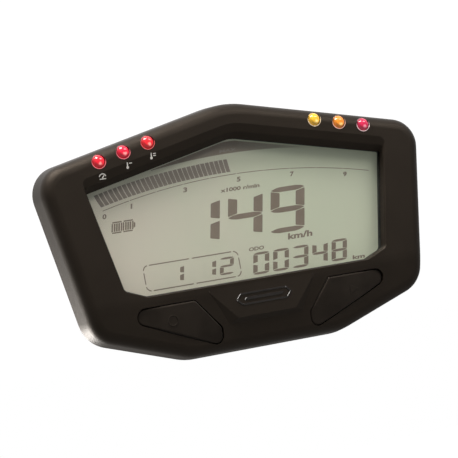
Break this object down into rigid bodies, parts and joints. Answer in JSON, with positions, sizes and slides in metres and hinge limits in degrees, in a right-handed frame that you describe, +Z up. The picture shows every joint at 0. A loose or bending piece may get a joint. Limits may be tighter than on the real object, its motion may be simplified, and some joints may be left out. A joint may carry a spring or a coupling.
{
  "type": "motorcycle instrument cluster",
  "caption": "Compact sealed digital instrument cluster for a motorcycle: display behind a clear window, indicator lamps, pressable buttons, and threaded mounting bosses on the rear.",
  "frame": {"origin": "centre of the rear two-insert mounting pattern, on the plane that its bosses rest against", "axes": "+X to the rider's right along the cluster's width, +Z up, +Y away from the rider and out of the rear; the display faces -Y"},
  "size_m": [0.1238, 0.0284, 0.0736],
  "materials": {
    "bezel_plastic": "fine spark-eroded texture, satin",
    "casing_plastic": "fine moulded grain, matt",
    "button_rubber": "smooth rubber-touch",
    "seal_rubber": "matt",
    "lens_clear": "hard-coated, gloss",
    "display_glass": "polished",
    "polariser_film": "semi-matt film",
    "diffuser_white": "translucent white",
    "tray_plastic": "moulded white",
    "indicator_red": "clear tinted dome",
    "indicator_amber": "clear tinted dome",
    "indicator_crimson": "clear tinted dome",
    "board_laminate": "green solder mask",
    "chip_black": "moulded epoxy",
    "white_emitter": "white side-view emitter",
    "tinned_metal": "tinned",
    "screw_steel": "zinc plated",
    "capacitor_can": "plain can",
    "insert_brass": "turned",
    "connector_black": "moulded"
  },
  "bodies": {
    "root": {"front_bezel": "bezel_plastic", "rear_casing": "casing_plastic", "case_seal": "seal_rubber", "case_screws": "screw_steel", "mount_inserts": "insert_brass", "harness_grommet": "seal_rubber", "vent_plug": "seal_rubber", "window_lens": "lens_clear", "lens_seal": "seal_rubber", "display_gasket": "seal_rubber", "front_polariser": "polariser_film", "front_glass": "display_glass", "rear_glass": "display_glass", "rear_polariser": "polariser_film", "diffuser_film": "diffuser_white", "light_guide": "diffuser_white", "reflector_film": "diffuser_white", "display_tray": "tray_plastic", "contact_strip": "seal_rubber", "backlight_leds": "white_emitter", "left_outer_indicator": "indicator_red", "left_middle_indicator": "indicator_red", "left_inner_indicator": "indicator_red", "right_inner_indicator": "indicator_amber", "right_middle_indicator": "indicator_amber", "right_outer_indicator": "indicator_crimson", "indicator_leads": "tinned_metal", "left_button_retainer": "connector_black", "right_button_retainer": "connector_black", "left_switch_body": "chip_black", "right_switch_body": "chip_black", "main_board": "board_laminate", "board_screws": "screw_steel", "microcontroller": "chip_black", "display_driver": "chip_black", "voltage_regulator": "chip_black", "crystal": "tinned_metal", "suppressor_diode": "chip_black", "chip_components": "chip_black", "inductor": "chip_black", "capacitors": "capacitor_can", "harness_header": "connector_black", "header_pins": "tinned_metal"},
    "left_button_body": {"left_button": "button_rubber", "left_button_ring": "seal_rubber"},
    "right_button_body": {"right_button": "button_rubber", "right_button_ring": "seal_rubber"},
    "left_plunger_body": {"left_switch_plunger": "connector_black"},
    "right_plunger_body": {"right_switch_plunger": "connector_black"}
  },
  "joints": [
    {"name": "left_button_press", "type": "slide", "parent": "root", "child": "left_button_body", "axis": [0, 1, 0], "range_m": [0, 0.0008], "stiffness_N_per_m": 2600, "springref_m": -0.0004},
    {"name": "left_switch_press", "type": "slide", "parent": "root", "child": "left_plunger_body", "axis": [0, 1, 0], "range_m": [0, 0.0008]},
    {"name": "right_button_press", "type": "slide", "parent": "root", "child": "right_button_body", "axis": [0, 1, 0], "range_m": [0, 0.0008], "stiffness_N_per_m": 2600, "springref_m": -0.0004},
    {"name": "right_switch_press", "type": "slide", "parent": "root", "child": "right_plunger_body", "axis": [0, 1, 0], "range_m": [0, 0.0008]}
  ],
  "couplings": [
    {"joint": "left_switch_press", "follows": "left_button_press", "ratio": 1},
    {"joint": "right_switch_press", "follows": "right_button_press", "ratio": 1}
  ]
}
